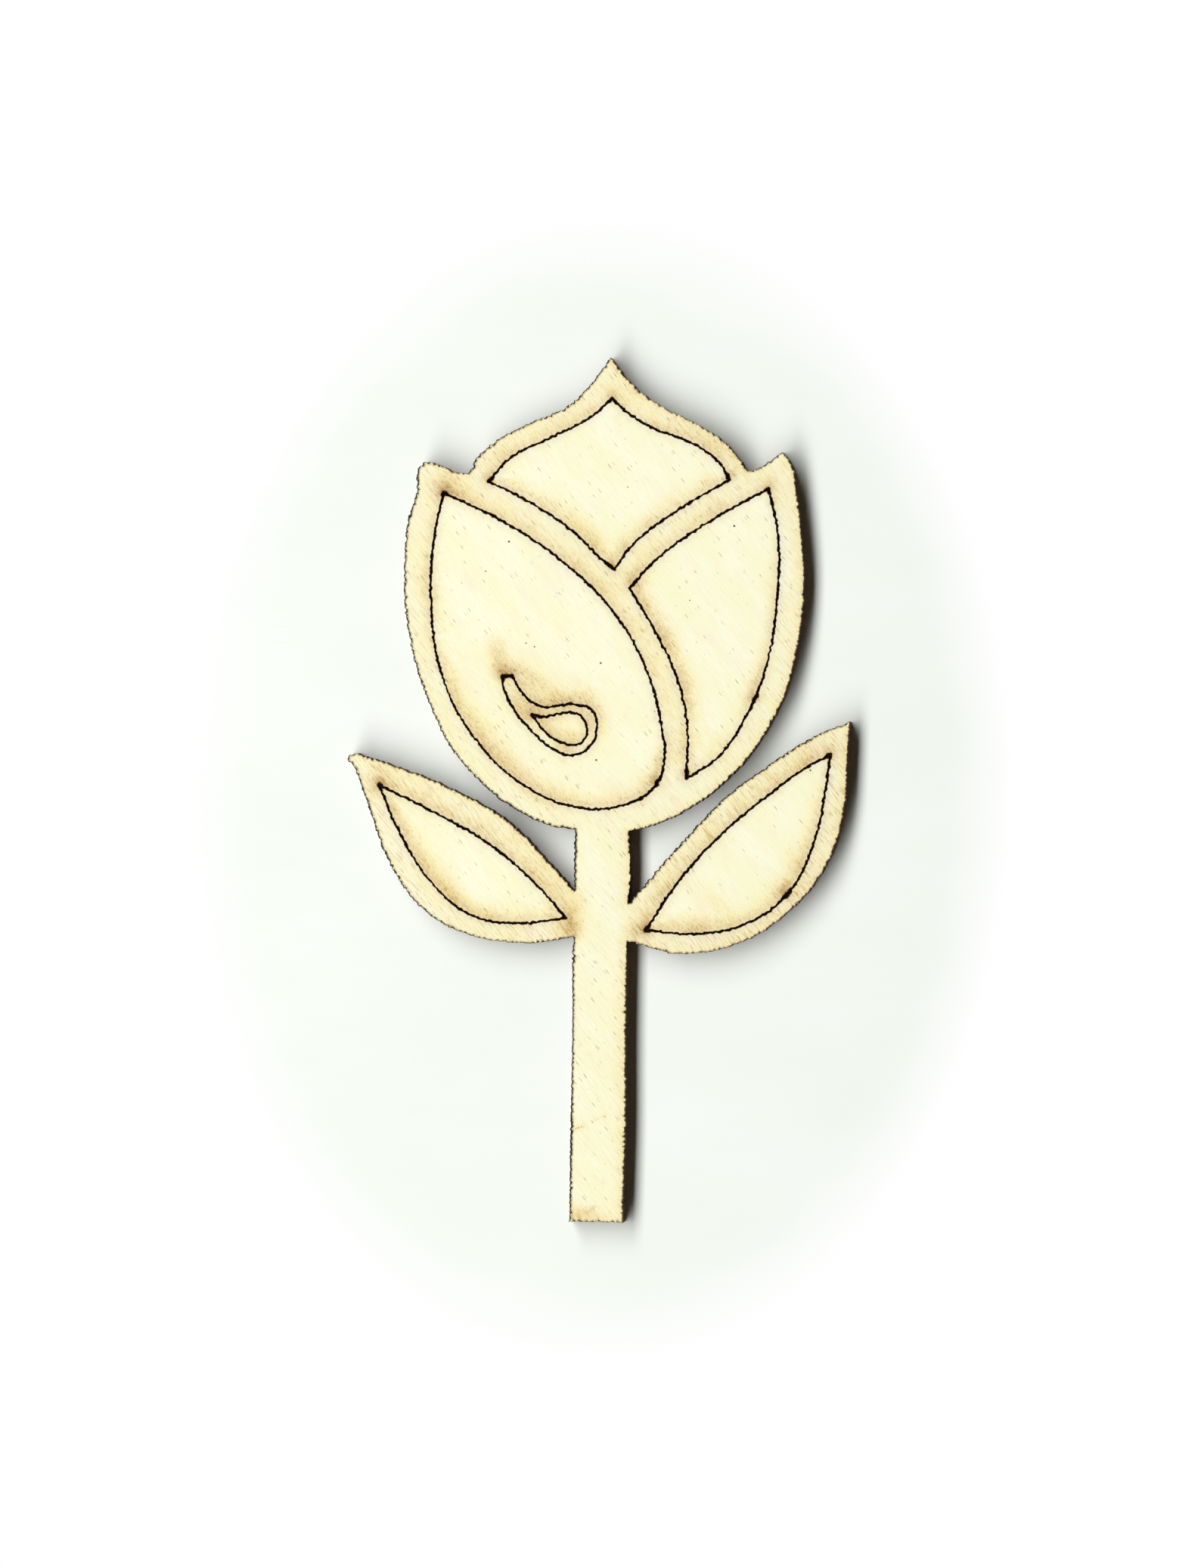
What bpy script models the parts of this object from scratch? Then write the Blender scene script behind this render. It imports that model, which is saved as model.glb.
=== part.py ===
"""Wooden tulip cutout: a folk tulip on a straight stem with two leaves, cut by laser out of thin
three-ply birch plywood, with its petals, leaves and a seed mark scored into the face.

The board lies flat. +X is to its right and +Y runs up the stem to the tip of the flower, as the
scored face is looked at, and +Z comes out of that face. The back face is at Z = 0, and the
origin is below the middle of the cut-out. All sizes are in metres.
"""

import bmesh
import bpy

# The board: three plies, with a film of glue between each two
FACE_PLY = 0.0009
CORE_PLY = 0.0012
BACK_PLY = 0.0009
GLUE_FILM = 0.0001

# The cut-out. Heights start at the foot of the stem, and a reach starts at its middle line.
STEM_WIDTH = 0.00635
FLOWER_HEIGHT_UP = 0.0460
FLOWER_WIDTH = 0.0470
FLOWER_HEIGHT = 0.0556
LEFT_LEAF_HEIGHT_UP = 0.0328
LEFT_LEAF_REACH = 0.0302
LEFT_LEAF_HEIGHT = 0.0218
RIGHT_LEAF_HEIGHT_UP = 0.0318
RIGHT_LEAF_REACH = 0.0289
RIGHT_LEAF_HEIGHT = 0.0275

# The lines that the laser scores into the face ply
SCORE_WIDTH = 0.0003
SCORE_DEPTH = 0.00045

# How far the stem's outline runs on inside the flower's, a cutter passes the face that it cuts
# through, and a blank sheet passes the cut-out
STEM_OVERLAP = 0.006
CUTTER_OVERRUN = 0.001
SHEET_MARGIN = 0.004

# Straight runs that stand for each curved stretch between two knots
RUNS_PER_STRETCH = 5

# Points of one solid that lie this close together are the same point
WELD_DISTANCE = 1e-6

# A knot is a point that a drawn line passes through. It is smooth, or a corner where it says so.
CORNER = "corner"

# The flower, drawn in millimetres from the middle of its underside. The outline comes first and
# sets the scale for the lines that are scored inside it.
FLOWER_OUTLINE = (
    (0.1, 55.6, CORNER),
    (-1.8, 52.7),
    (-5.0, 49.8),
    (-10.0, 47.5),
    (-13.9, 45.1),
    (-16.5, 41.75, CORNER),
    (-18.5, 42.0),
    (-20.0, 42.7),
    (-21.1, 42.95),
    (-22.1, 42.55),
    (-22.4, 41.5),
    (-22.4, 39.3),
    (-23.2, 36.5),
    (-23.7, 31.0),
    (-23.2, 24.0),
    (-20.1, 14.0),
    (-15.0, 6.2),
    (-9.0, 1.8),
    (-4.0, 0.2),
    (0.0, 0.0),
    (4.0, 0.2),
    (9.0, 2.3),
    (15.0, 6.5),
    (20.0, 13.9),
    (22.4, 21.0),
    (23.3, 29.0),
    (22.9, 35.0),
    (22.2, 40.3),
    (21.5, 43.5),
    (20.5, 44.75, CORNER),
    (17.2, 42.6, CORNER),
    (16.4, 42.5, CORNER),
    (13.9, 45.65),
    (10.5, 47.9),
    (6.0, 50.1),
    (2.6, 52.6),
)
TOP_PETAL_LINE = (
    (0.4, 50.85, CORNER),
    (-2.0, 48.7),
    (-7.0, 46.05),
    (-11.5, 43.7),
    (-14.0, 40.9, CORNER),
    (-10.0, 39.0),
    (-4.0, 35.2),
    (-0.6, 32.0),
    (1.0, 30.8, CORNER),
    (3.0, 33.6),
    (8.0, 37.6),
    (14.4, 41.5, CORNER),
    (13.0, 43.6),
    (10.0, 45.65),
    (5.0, 47.55),
    (2.0, 49.4),
)
FRONT_PETAL_LINE = (
    (-19.3, 39.5, CORNER),
    (-12.0, 36.1),
    (-5.0, 31.5),
    (1.0, 25.7),
    (5.0, 18.9),
    (6.9, 12.0),
    (7.2, 8.2),
    (6.0, 5.2),
    (2.0, 3.0),
    (-3.0, 2.8),
    (-9.0, 5.1),
    (-15.0, 10.5),
    (-19.1, 17.9),
    (-20.6, 27.0),
    (-20.3, 34.5),
)
RIGHT_PETAL_LINE = (
    (18.95, 40.5, CORNER),
    (12.0, 36.5),
    (6.0, 32.1),
    (2.8, 28.6, CORNER),
    (6.0, 23.4),
    (8.6, 18.0),
    (9.8, 13.0),
    (9.85, 6.4, CORNER),
    (13.4, 8.8),
    (16.5, 13.3),
    (18.9, 19.2),
    (20.2, 28.0),
    (20.1, 35.5),
)
SEED_RIM_LINE = (
    (-11.95, 18.0, CORNER),
    (-10.9, 18.15, CORNER),
    (-9.5, 15.95),
    (-7.5, 14.6),
    (-3.3, 14.85),
    (-1.2, 14.0),
    (-0.8, 12.3),
    (-1.25, 10.4),
    (-3.2, 8.95),
    (-5.0, 9.15),
    (-8.9, 12.1),
    (-10.9, 14.65),
    (-11.9, 16.9),
)
SEED_LINE = (
    (-8.45, 13.55, CORNER),
    (-7.1, 13.35),
    (-4.0, 13.9),
    (-2.5, 13.3),
    (-1.95, 12.1),
    (-2.4, 10.55),
    (-3.8, 10.1),
    (-6.6, 11.35),
)

# The leaves, drawn in millimetres from the stem's middle line and the leaf's lowest point
LEFT_LEAF_OUTLINE = (
    (0.0, 2.4, CORNER),
    (-6.0, 9.2),
    (-11.0, 14.1),
    (-18.0, 17.8),
    (-25.0, 20.5),
    (-28.3, 21.55),
    (-29.6, 21.8),
    (-30.2, 21.2),
    (-29.4, 20.2),
    (-27.2, 15.2),
    (-25.0, 9.2),
    (-21.5, 4.2),
    (-16.0, 0.95),
    (-10.0, 0.0),
    (-4.0, 0.6),
    (0.0, 1.0, CORNER),
)
LEFT_LEAF_LINE = (
    (-26.35, 18.2, CORNER),
    (-20.0, 15.2),
    (-13.0, 11.3),
    (-7.0, 6.2),
    (-4.1, 2.95, CORNER),
    (-10.0, 2.25),
    (-15.0, 3.0),
    (-19.5, 6.3),
    (-24.1, 13.1),
)
RIGHT_LEAF_OUTLINE = (
    (0.0, 1.8, CORNER),
    (5.0, 0.95),
    (10.0, 0.0),
    (16.0, 1.15),
    (22.0, 5.0),
    (26.4, 10.6),
    (28.5, 17.5),
    (28.85, 23.0),
    (28.9, 27.5, CORNER),
    (22.0, 23.85),
    (18.5, 21.35),
    (15.0, 18.7),
    (9.0, 12.25),
    (4.4, 6.95),
    (0.0, 2.4, CORNER),
)
RIGHT_LEAF_LINE = (
    (26.7, 23.6, CORNER),
    (23.8, 22.0),
    (20.0, 19.15),
    (14.0, 14.0),
    (9.0, 8.3),
    (5.4, 2.7, CORNER),
    (11.0, 2.35),
    (17.0, 3.6),
    (22.0, 7.3),
    (25.0, 13.5),
    (26.3, 20.2),
)

# Each motif: its outline, and its real width, height and height up the stem
FLOWER = (FLOWER_OUTLINE, FLOWER_WIDTH, FLOWER_HEIGHT, FLOWER_HEIGHT_UP)
LEFT_LEAF = (LEFT_LEAF_OUTLINE, LEFT_LEAF_REACH, LEFT_LEAF_HEIGHT, LEFT_LEAF_HEIGHT_UP)
RIGHT_LEAF = (RIGHT_LEAF_OUTLINE, RIGHT_LEAF_REACH, RIGHT_LEAF_HEIGHT, RIGHT_LEAF_HEIGHT_UP)

# Colour and roughness of each layer
SANDED_BIRCH = ((0.93, 0.86, 0.66), 0.6)
CORE_BIRCH = ((0.80, 0.66, 0.44), 0.7)
SET_GLUE = ((0.16, 0.07, 0.03), 0.4)


def clear_scene():
    """An empty file: no object, mesh, curve or material is left from before."""
    for obj in list(bpy.data.objects):
        bpy.data.objects.remove(obj, do_unlink=True)
    for blocks in (bpy.data.meshes, bpy.data.curves, bpy.data.materials):
        for block in list(blocks):
            blocks.remove(block)


def new_collection(name):
    collection = bpy.data.collections.new(name)
    bpy.context.scene.collection.children.link(collection)
    return collection


def at_real_size(line, outline, width, height, height_up):
    """A drawn line's knots in metres: the outline's box becomes width by height, at height_up."""
    across = [knot[0] for knot in outline]
    up = [knot[1] for knot in outline]
    x_scale = width / (max(across) - min(across))
    y_scale = height / (max(up) - min(up))
    return [(x * x_scale, height_up + (y - min(up)) * y_scale, *rest) for x, y, *rest in line]


def drawn_curve(name, knots, bottom, top, filled):
    """A closed 2D curve through the knots, drawn out from bottom to top: a slab, or a thin wall."""
    curve = bpy.data.curves.new(name, "CURVE")
    curve.dimensions = "2D"
    curve.fill_mode = "BOTH" if filled else "NONE"
    curve.resolution_u = RUNS_PER_STRETCH
    curve.extrude = (top - bottom) / 2
    spline = curve.splines.new("BEZIER")
    spline.bezier_points.add(len(knots) - 1)
    for point, (x, y, *_) in zip(spline.bezier_points, knots):
        point.co = (x, y, 0)
    for point, (_, _, *rest) in zip(spline.bezier_points, knots):
        point.handle_left_type = "VECTOR" if rest else "AUTO"
        point.handle_right_type = point.handle_left_type
    spline.use_cyclic_u = True
    obj = bpy.data.objects.new(name, curve)
    obj.location.z = (bottom + top) / 2
    return obj


def as_mesh(curve_object, collection):
    """The curve's solid as a mesh with its place in its points and its loose caps welded on."""
    collection.objects.link(curve_object)
    bpy.context.view_layer.update()
    graph = bpy.context.evaluated_depsgraph_get()
    evaluated = curve_object.evaluated_get(graph)
    mesh = bpy.data.meshes.new_from_object(evaluated, depsgraph=graph)
    mesh.transform(curve_object.matrix_world)
    name = curve_object.name
    bpy.data.objects.remove(curve_object, do_unlink=True)
    welded = bmesh.new()
    welded.from_mesh(mesh)
    bmesh.ops.remove_doubles(welded, verts=welded.verts, dist=WELD_DISTANCE)
    bmesh.ops.recalc_face_normals(welded, faces=welded.faces)
    welded.to_mesh(mesh)
    welded.free()
    obj = bpy.data.objects.new(name, mesh)
    collection.objects.link(obj)
    return obj


def block(name, low, high, collection):
    """A rectangular block between two corners."""
    mesh = bpy.data.meshes.new(name)
    cube = bmesh.new()
    bmesh.ops.create_cube(cube, size=1)
    for vert in cube.verts:
        vert.co = [low[i] if vert.co[i] < 0 else high[i] for i in range(3)]
    cube.to_mesh(mesh)
    cube.free()
    obj = bpy.data.objects.new(name, mesh)
    collection.objects.link(obj)
    return obj


def combine(obj, operation, other, overlaps_itself=False):
    """A live exact Boolean of the object with another."""
    modifier = obj.modifiers.new(f"{operation.lower()} {other.name}", "BOOLEAN")
    modifier.operation = operation
    modifier.solver = "EXACT"
    modifier.use_self = overlaps_itself
    modifier.object = other


def mark_as_cutter(obj):
    obj.hide_render = True
    obj.display_type = "WIRE"


def box_of(obj):
    """Lowest and highest corner of the object as its modifiers leave it."""
    bpy.context.view_layer.update()
    evaluated = obj.evaluated_get(bpy.context.evaluated_depsgraph_get())
    points = [obj.matrix_world @ vert.co for vert in evaluated.data.vertices]
    return (
        [min(point[i] for point in points) for i in range(3)],
        [max(point[i] for point in points) for i in range(3)],
    )


def layer_material(name, colour, roughness):
    material = bpy.data.materials.new(name)
    material.use_nodes = True
    shader = material.node_tree.nodes["Principled BSDF"]
    shader.inputs["Base Color"].default_value = (*colour, 1)
    shader.inputs["Roughness"].default_value = roughness
    shader.inputs["Metallic"].default_value = 0
    return material


def cut_out_path(board_top, collection):
    """The path that goes right through the board: flower, stem and leaves run into one outline."""
    low, high = -CUTTER_OVERRUN, board_top + CUTTER_OVERRUN
    path = block(
        "cut_path",
        (-STEM_WIDTH / 2, 0, low),
        (STEM_WIDTH / 2, FLOWER_HEIGHT_UP + STEM_OVERLAP, high),
        collection,
    )
    mark_as_cutter(path)
    for name, motif in (
        ("cut_path_flower", FLOWER),
        ("cut_path_left_leaf", LEFT_LEAF),
        ("cut_path_right_leaf", RIGHT_LEAF),
    ):
        knots = at_real_size(motif[0], *motif)
        shape = as_mesh(drawn_curve(name, knots, low, high, filled=True), collection)
        mark_as_cutter(shape)
        combine(path, "UNION", shape)
    return path


def score_cutters(board_top, collection):
    """One closed ring for each scored line, as wide as the line and sunk to its depth."""
    low, high = board_top - SCORE_DEPTH, board_top + CUTTER_OVERRUN
    rings = []
    for name, line, motif in (
        ("score_top_petal", TOP_PETAL_LINE, FLOWER),
        ("score_front_petal", FRONT_PETAL_LINE, FLOWER),
        ("score_right_petal", RIGHT_PETAL_LINE, FLOWER),
        ("score_seed_rim", SEED_RIM_LINE, FLOWER),
        ("score_seed", SEED_LINE, FLOWER),
        ("score_left_leaf", LEFT_LEAF_LINE, LEFT_LEAF),
        ("score_right_leaf", RIGHT_LEAF_LINE, RIGHT_LEAF),
    ):
        knots = at_real_size(line, *motif)
        ring = as_mesh(drawn_curve(name, knots, low, high, filled=False), collection)
        wall = ring.modifiers.new("beam width", "SOLIDIFY")
        wall.thickness = SCORE_WIDTH
        wall.offset = 0
        wall.use_even_offset = True
        mark_as_cutter(ring)
        rings.append(ring)
    return rings


def sheets(path, collection):
    """Each ply and each film of glue is a whole sheet, until the path is cut through the stack."""
    low, high = box_of(path)
    level = 0
    stack = {}
    for name, thickness, finish in (
        ("back_veneer", BACK_PLY, SANDED_BIRCH),
        ("rear_glue_line", GLUE_FILM, SET_GLUE),
        ("core_veneer", CORE_PLY, CORE_BIRCH),
        ("front_glue_line", GLUE_FILM, SET_GLUE),
        ("face_veneer", FACE_PLY, SANDED_BIRCH),
    ):
        stack[name] = block(
            name,
            (low[0] - SHEET_MARGIN, low[1] - SHEET_MARGIN, level),
            (high[0] + SHEET_MARGIN, high[1] + SHEET_MARGIN, level + thickness),
            collection,
        )
        stack[name].data.materials.append(layer_material(name, *finish))
        combine(stack[name], "INTERSECT", path)
        level += thickness
    return stack


def build():
    clear_scene()
    pieces = new_collection("wooden_tulip_cutout")
    cutters = new_collection("cutters")
    board_top = BACK_PLY + GLUE_FILM + CORE_PLY + GLUE_FILM + FACE_PLY
    path = cut_out_path(board_top, cutters)
    rings = score_cutters(board_top, cutters)

    # The drawing starts at the foot of the stem, and the origin is below the cut-out's middle.
    low, high = box_of(path)
    for cutter in cutters.objects:
        cutter.location = (-(low[0] + high[0]) / 2, -(low[1] + high[1]) / 2, 0)

    # In a narrow tip a ring's two walls run into each other, as the scored line does.
    layers = sheets(path, pieces)
    for ring in rings:
        combine(layers["face_veneer"], "DIFFERENCE", ring, overlaps_itself=True)


build()
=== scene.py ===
"""Wooden tulip cutout, lying on a pale table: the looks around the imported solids.

Lengths are in millimetres in the arrays, and become metres where a mesh is made. +X is to the
right and +Y up the stem as the scored face is looked at, and +Z comes out of that face.
"""

import math

import bpy
import numpy as np
from mathutils import Matrix, Vector
from mathutils.geometry import delaunay_2d_cdt


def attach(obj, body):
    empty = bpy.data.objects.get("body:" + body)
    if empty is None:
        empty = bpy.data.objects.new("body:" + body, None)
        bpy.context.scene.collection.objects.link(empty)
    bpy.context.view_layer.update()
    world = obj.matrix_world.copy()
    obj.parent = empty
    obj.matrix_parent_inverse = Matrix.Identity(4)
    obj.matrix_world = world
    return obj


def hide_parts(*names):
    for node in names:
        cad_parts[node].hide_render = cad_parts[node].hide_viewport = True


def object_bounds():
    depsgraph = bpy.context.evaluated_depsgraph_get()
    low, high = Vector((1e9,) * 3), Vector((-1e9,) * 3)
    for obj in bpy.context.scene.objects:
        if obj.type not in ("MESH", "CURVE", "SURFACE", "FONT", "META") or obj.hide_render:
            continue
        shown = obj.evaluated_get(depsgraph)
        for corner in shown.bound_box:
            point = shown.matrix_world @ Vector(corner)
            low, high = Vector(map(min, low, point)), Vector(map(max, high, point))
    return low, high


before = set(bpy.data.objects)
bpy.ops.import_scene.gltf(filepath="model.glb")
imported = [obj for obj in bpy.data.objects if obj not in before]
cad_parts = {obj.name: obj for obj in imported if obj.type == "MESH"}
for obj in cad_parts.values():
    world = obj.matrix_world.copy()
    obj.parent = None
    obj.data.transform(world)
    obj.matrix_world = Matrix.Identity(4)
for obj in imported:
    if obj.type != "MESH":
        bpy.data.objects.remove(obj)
cad_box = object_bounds()

# The back veneer: the lower birch ply, 0.9 mm thick and plain, since nothing is scored into it.
# The beam leaves the board here, so its cut wall is charred and smoke has toasted its rim.

BACK_LEVELS = (0.0, 0.04, 0.3, 0.6, 0.9)  # heights of the rows of its wall
BOARD_TOP = 3.2
WALL_STEP = 0.13  # from point to point round the cut
CORNER_TURN = math.radians(40)  # a drawn line that turns by more has a corner there
CUT_INSET = 0.032  # how far inside the drawn path the cut ran on the whole
WALL_INSET = 0.008  # and its wall within that, at the back
WALL_LEAN = 0.03  # and how much further in it is at the face
FLUTE_DEPTH, WAVE_DEPTH = 0.026, 0.010  # standard deviations
ON_WALL = -1.0  # the `edge` of a point well below the rim
NO_LINE = 30.0  # the `score` of a point far from any scored line
GRAIN_TURN = math.radians(51.5)  # brings the grain to +X
STEM_FOOT = np.array((0.65, -50.8))
STEM_CLEAR = 31.0  # how far up the stem's sides are straight
# Where the cut ran wide of the drawn path, or its dark rim is wider, from the top and round to the
# left: (x, y, how far out, how much wider the dark rim, how far along), in mm. That dark rim is
# char, and where it faces left partly painted shade too. Here and below, x and y are measured from
# the middle of the stem's foot.
CUT_WANDER = (
    (17.7, 88.8, 0.15, 0.00, 3.0), (-1.3, 99.3, 0.20, 0.00, 3.0), (-15.5, 89.1, 0.22, 0.00, 2.0),
    (-20.0, 88.7, 0.10, 0.03, 6.0), (-23.1, 82.5, 0.16, 0.00, 3.5), (-22.0, 65.1, 0.26, 0.00, 18.0),
    (-18.0, 56.1, 0.16, 0.00, 3.5), (-11.0, 49.0, 0.02, 0.05, 4.0), (-5.9, 46.7, 0.16, 0.04, 5.0),
    (-3.1, 42.5, 0.06, 0.06, 3.0), (-9.0, 45.0, -0.08, 0.00, 4.0), (-20.0, 51.4, 0.13, 0.00, 6.0),
    (-30.0, 53.5, -0.12, 0.00, 2.0), (-26.9, 47.6, 0.32, 0.00, 7.0), (-18.0, 34.8, 0.14, 0.00, 7.0),
    (-7.0, 33.1, 0.22, 0.00, 4.0), (-3.1, 30.0, 0.12, 0.02, 4.0), (-3.1, 9.5, 0.05, 0.08, 5.0),
    (3.1, 11.5, 0.16, 0.00, 6.5), (7.1, 32.3, 0.26, 0.00, 3.5), (28.8, 54.5, -0.16, 0.00, 5.0),
    (25.7, 57.6, 0.22, 0.00, 4.0), (16.0, 51.0, 0.18, 0.03, 12.0), (7.5, 42.3, 0.18, 0.00, 6.0),
    (3.1, 40.9, 0.27, 0.00, 4.0), (9.0, 48.4, 0.20, 0.00, 3.5), (14.8, 52.5, -0.08, 0.00, 3.0),
    (20.6, 61.5, 0.17, 0.00, 5.0),
)
# The smoke's thicknesses at the stops of its colour ramp. Thin smoke takes mostly blue.
SMOKE_STOPS = np.array((0.0, 0.25, 0.5, 0.8, 1.2, 1.7, 2.4))


def loops_round(node_name):
    """The closed loops round a CAD node's upper face, in mm.

    An edge that only one of that face's triangles has lies on its border. The border's edges,
    each with its own triangle's winding, are followed end to end, so that a loop runs
    anticlockwise round wood and clockwise round a hole.
    """
    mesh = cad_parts[node_name].data
    mesh.calc_loop_triangles()
    points = np.empty(3 * len(mesh.vertices), np.float32)
    mesh.vertices.foreach_get("co", points)
    corners = np.empty(3 * len(mesh.loop_triangles), np.int32)
    mesh.loop_triangles.foreach_get("vertices", corners)
    solid = 1000 * points.reshape(-1, 3)[corners].reshape(-1, 3, 3).astype(float)
    upper = solid[(solid[..., 2] > solid[..., 2].max() - 0.001).all(1), :, :2]
    spots, place = np.unique(np.round(upper.reshape(-1, 2), 3), axis=0, return_inverse=True)
    face = place.reshape(-1, 3)
    edges = np.concatenate((face[:, (0, 1)], face[:, (1, 2)], face[:, (2, 0)]))
    paired = np.isin(edges @ (len(spots), 1), edges @ (1, len(spots)))
    following = dict(edges[~paired].tolist())
    loops = []
    while following:
        start, spot = following.popitem()
        loop = [start]
        while spot != start:
            loop.append(spot)
            spot = following.pop(spot)
        loops.append(spots[loop])
    return loops


def signed_area(loop):
    """Half the sum of the cross products of neighbouring points: positive if anticlockwise."""
    x, y = loop.T
    return 0.5 * np.sum(x * np.roll(y, -1) - np.roll(x, -1) * y)


def smooth_path(loop, step):
    """Points about every `step` mm along a smooth closed curve through the loop's points.

    Each chord becomes a cubic Hermite curve. A point's tangent is the mean of the directions of
    its two chords, each weighted by the other's length, and a corner has one for either side.
    Returns the points, and whether each is a corner.
    """
    chord = np.roll(loop, -1, 0) - loop
    length = np.linalg.norm(chord, axis=1)
    ahead = chord / length[:, None]
    behind = np.roll(ahead, 1, 0)
    turn = np.arctan2(
        behind[:, 0] * ahead[:, 1] - behind[:, 1] * ahead[:, 0], (behind * ahead).sum(1)
    )
    corner = np.abs(turn) > CORNER_TURN
    before = np.roll(length, 1)
    mean = (behind * length[:, None] + ahead * before[:, None]) / (length + before)[:, None]
    leaving = np.where(corner[:, None], ahead, mean)
    arriving = np.roll(np.where(corner[:, None], behind, mean), -1, 0)
    parts = np.maximum(1, np.round(length / step)).astype(int)
    chord_of = np.repeat(np.arange(len(loop)), parts)
    first = np.cumsum(parts) - parts
    t = ((np.arange(parts.sum()) - first[chord_of]) / parts[chord_of])[:, None]
    a, b = loop[chord_of], np.roll(loop, -1, 0)[chord_of]
    p, q = (side[chord_of] * length[chord_of, None] for side in (leaving, arriving))
    curve = (
        (2 * t**3 - 3 * t**2 + 1) * a
        + (t**3 - 2 * t**2 + t) * p
        + (3 * t**2 - 2 * t**3) * b
        + (t**3 - t**2) * q
    )
    at_corner = np.zeros(len(curve), bool)
    at_corner[first] = corner
    return curve, at_corner


def left_of(path):
    """Unit normals to the left of a closed path, each square to the line past its neighbours."""
    along = np.roll(path, -1, 0) - np.roll(path, 1, 0)
    along /= np.linalg.norm(along, axis=1)[:, None]
    return np.stack((-along[:, 1], along[:, 0]), 1)


def run_of(path):
    """Distance along a closed path at each of its points, and the whole way round."""
    step = np.linalg.norm(np.roll(path, -1, 0) - path, axis=1)
    return np.cumsum(step) - step, step.sum()


def ripple(run, around, pitch, seed):
    """Unevenness along a closed path, with a standard deviation of 1.

    A sum of 24 cosines of random phase, each with a whole number of waves round the path, and
    with wavelengths of 0.6 to 1.7 times the pitch.
    """
    random = np.random.default_rng(seed)
    waves = np.round(around / pitch / random.uniform(0.6, 1.7, 24))
    phase = random.uniform(0, 2 * np.pi, 24)
    return np.cos(2 * np.pi * np.outer(run, waves) / around + phase).sum(1) / math.sqrt(12)


def wavering(run, around, *parts):
    """A sum of ripples along a closed path, each given by its size in mm, pitch and seed."""
    return sum(size * ripple(run, around, pitch, seed) for size, pitch, seed in parts)


def off_corners(run, around, corner, reach=0.4):
    """0 at a closed path's corners, rising to 1 at a reach in mm on either side of them."""
    apart = np.abs(run[:, None] - run[corner])
    return np.clip(np.minimum(apart, around - apart).min(1, initial=around) / reach, 0, 1)


def humps(run, around, places, widths, heights):
    """A sum of bell curves along a closed path: height times exp(-(distance/width)^2)."""
    apart = np.abs(run[:, None] - places)
    apart = np.minimum(apart, around - apart)
    return (heights * np.exp(-((apart / widths) ** 2))).sum(1)


def beside(path, points):
    """For each point, its distance from a closed path and the run at the path's nearest place.

    The path's nearest point is found first, and then the nearer of the chords on either side.
    """
    run, around = run_of(path)
    squares = (path**2).sum(1)
    nearest = [
        (squares - 2 * part @ path.T).argmin(1)
        for part in np.array_split(points, len(points) // 4000 + 1)
    ]
    nearest = np.concatenate(nearest)
    chord = np.roll(path, -1, 0) - path
    distance = np.full(len(points), np.inf)
    place = np.zeros(len(points))
    for start in (nearest, (nearest - 1) % len(path)):
        square = (chord[start] ** 2).sum(1)
        t = np.clip(((points - path[start]) * chord[start]).sum(1) / square, 0, 1)
        here = np.linalg.norm(points - path[start] - t[:, None] * chord[start], axis=1)
        nearer = here < distance
        distance[nearer] = here[nearer]
        place[nearer] = (run[start] + t * np.sqrt(square))[nearer]
    return distance, place % around


def inside(loop, points):
    """Whether each point is inside a loop.

    A ray from such a point towards +X crosses the loop an odd number of times.
    """
    (x, y), (next_x, next_y) = loop.T, np.roll(loop, -1, 0).T
    slope = (next_x - x) / np.where(next_y == y, 1, next_y - y)
    answers = []
    for part in np.array_split(points, len(points) // 4000 + 1):
        px, py = part[:, :1], part[:, 1:]
        crossed = ((y > py) != (next_y > py)) & (px < x + (py - y) * slope)
        answers.append(crossed.sum(1) % 2 == 1)
    return np.concatenate(answers)


def grid_within(loop, pitch, seed):
    """A triangular grid's points inside a loop, each moved at random by up to 1/5 of the pitch."""
    (low_x, low_y), (high_x, high_y) = loop.min(0), loop.max(0)
    rows = np.arange(low_y, high_y, pitch * math.sqrt(0.75))
    columns = np.arange(low_x, high_x, pitch)
    x = columns[None] + pitch / 2 * (np.arange(len(rows)) % 2)[:, None]
    y = np.broadcast_to(rows[:, None], x.shape)
    points = np.stack((x.ravel(), y.ravel()), 1)
    points += np.random.default_rng(seed).uniform(-pitch / 5, pitch / 5, points.shape)
    return points[inside(loop, points)]


def ring_points(path, reaches):
    """The path moved to its left by each reach, less what lies nearer to another part of it."""
    points = np.concatenate([path + left_of(path) * reach for reach in reaches])
    reach_of = np.repeat(reaches, len(path))
    return points[beside(path, points)[0] > 0.97 * reach_of]


def skin(rim, others, creases=()):
    """Triangles that fill a closed rim and pass through other points, with the creases as edges.

    Returns the points in the plane, the triangles, anticlockwise, and where the rim's points are.
    """
    given = np.concatenate((rim, others)) if len(others) else rim
    made, _, faces, sources, *_ = delaunay_2d_cdt(
        given.tolist(), list(creases), [list(range(len(rim)))], 1, 1e-5
    )
    place = np.zeros(len(given), int)
    place[np.concatenate(sources).astype(int)] = np.repeat(
        np.arange(len(made)), [len(source) for source in sources]
    )
    return np.array([spot[:] for spot in made]), np.array(faces), place[: len(rim)]


def cut_wall(levels, burnt_back):
    """Rows of the cut wall, one closed loop for each level, burnt back by so much at each.

    The beam narrows on its way down, so the wall leans out a little from the face to the back.
    Its pulses left upright flutes, shallower and deeper round the path.
    """
    levels = np.asarray(levels, float)[:, None]
    share = levels / BOARD_TOP
    inset = WALL_INSET + WALL_LEAN * share + np.asarray(burnt_back, float)[:, None]
    inset = np.maximum(0, inset + FLUTE_DEPTH * cut_flutes + WAVE_DEPTH * cut_waves)
    inset = inset * cut_freedom
    across = cut_path + left_of(cut_path) * inset[..., None]
    upright = np.broadcast_to(levels[..., None], (*inset.shape, 1))
    return np.concatenate((across, upright), 2)


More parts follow.
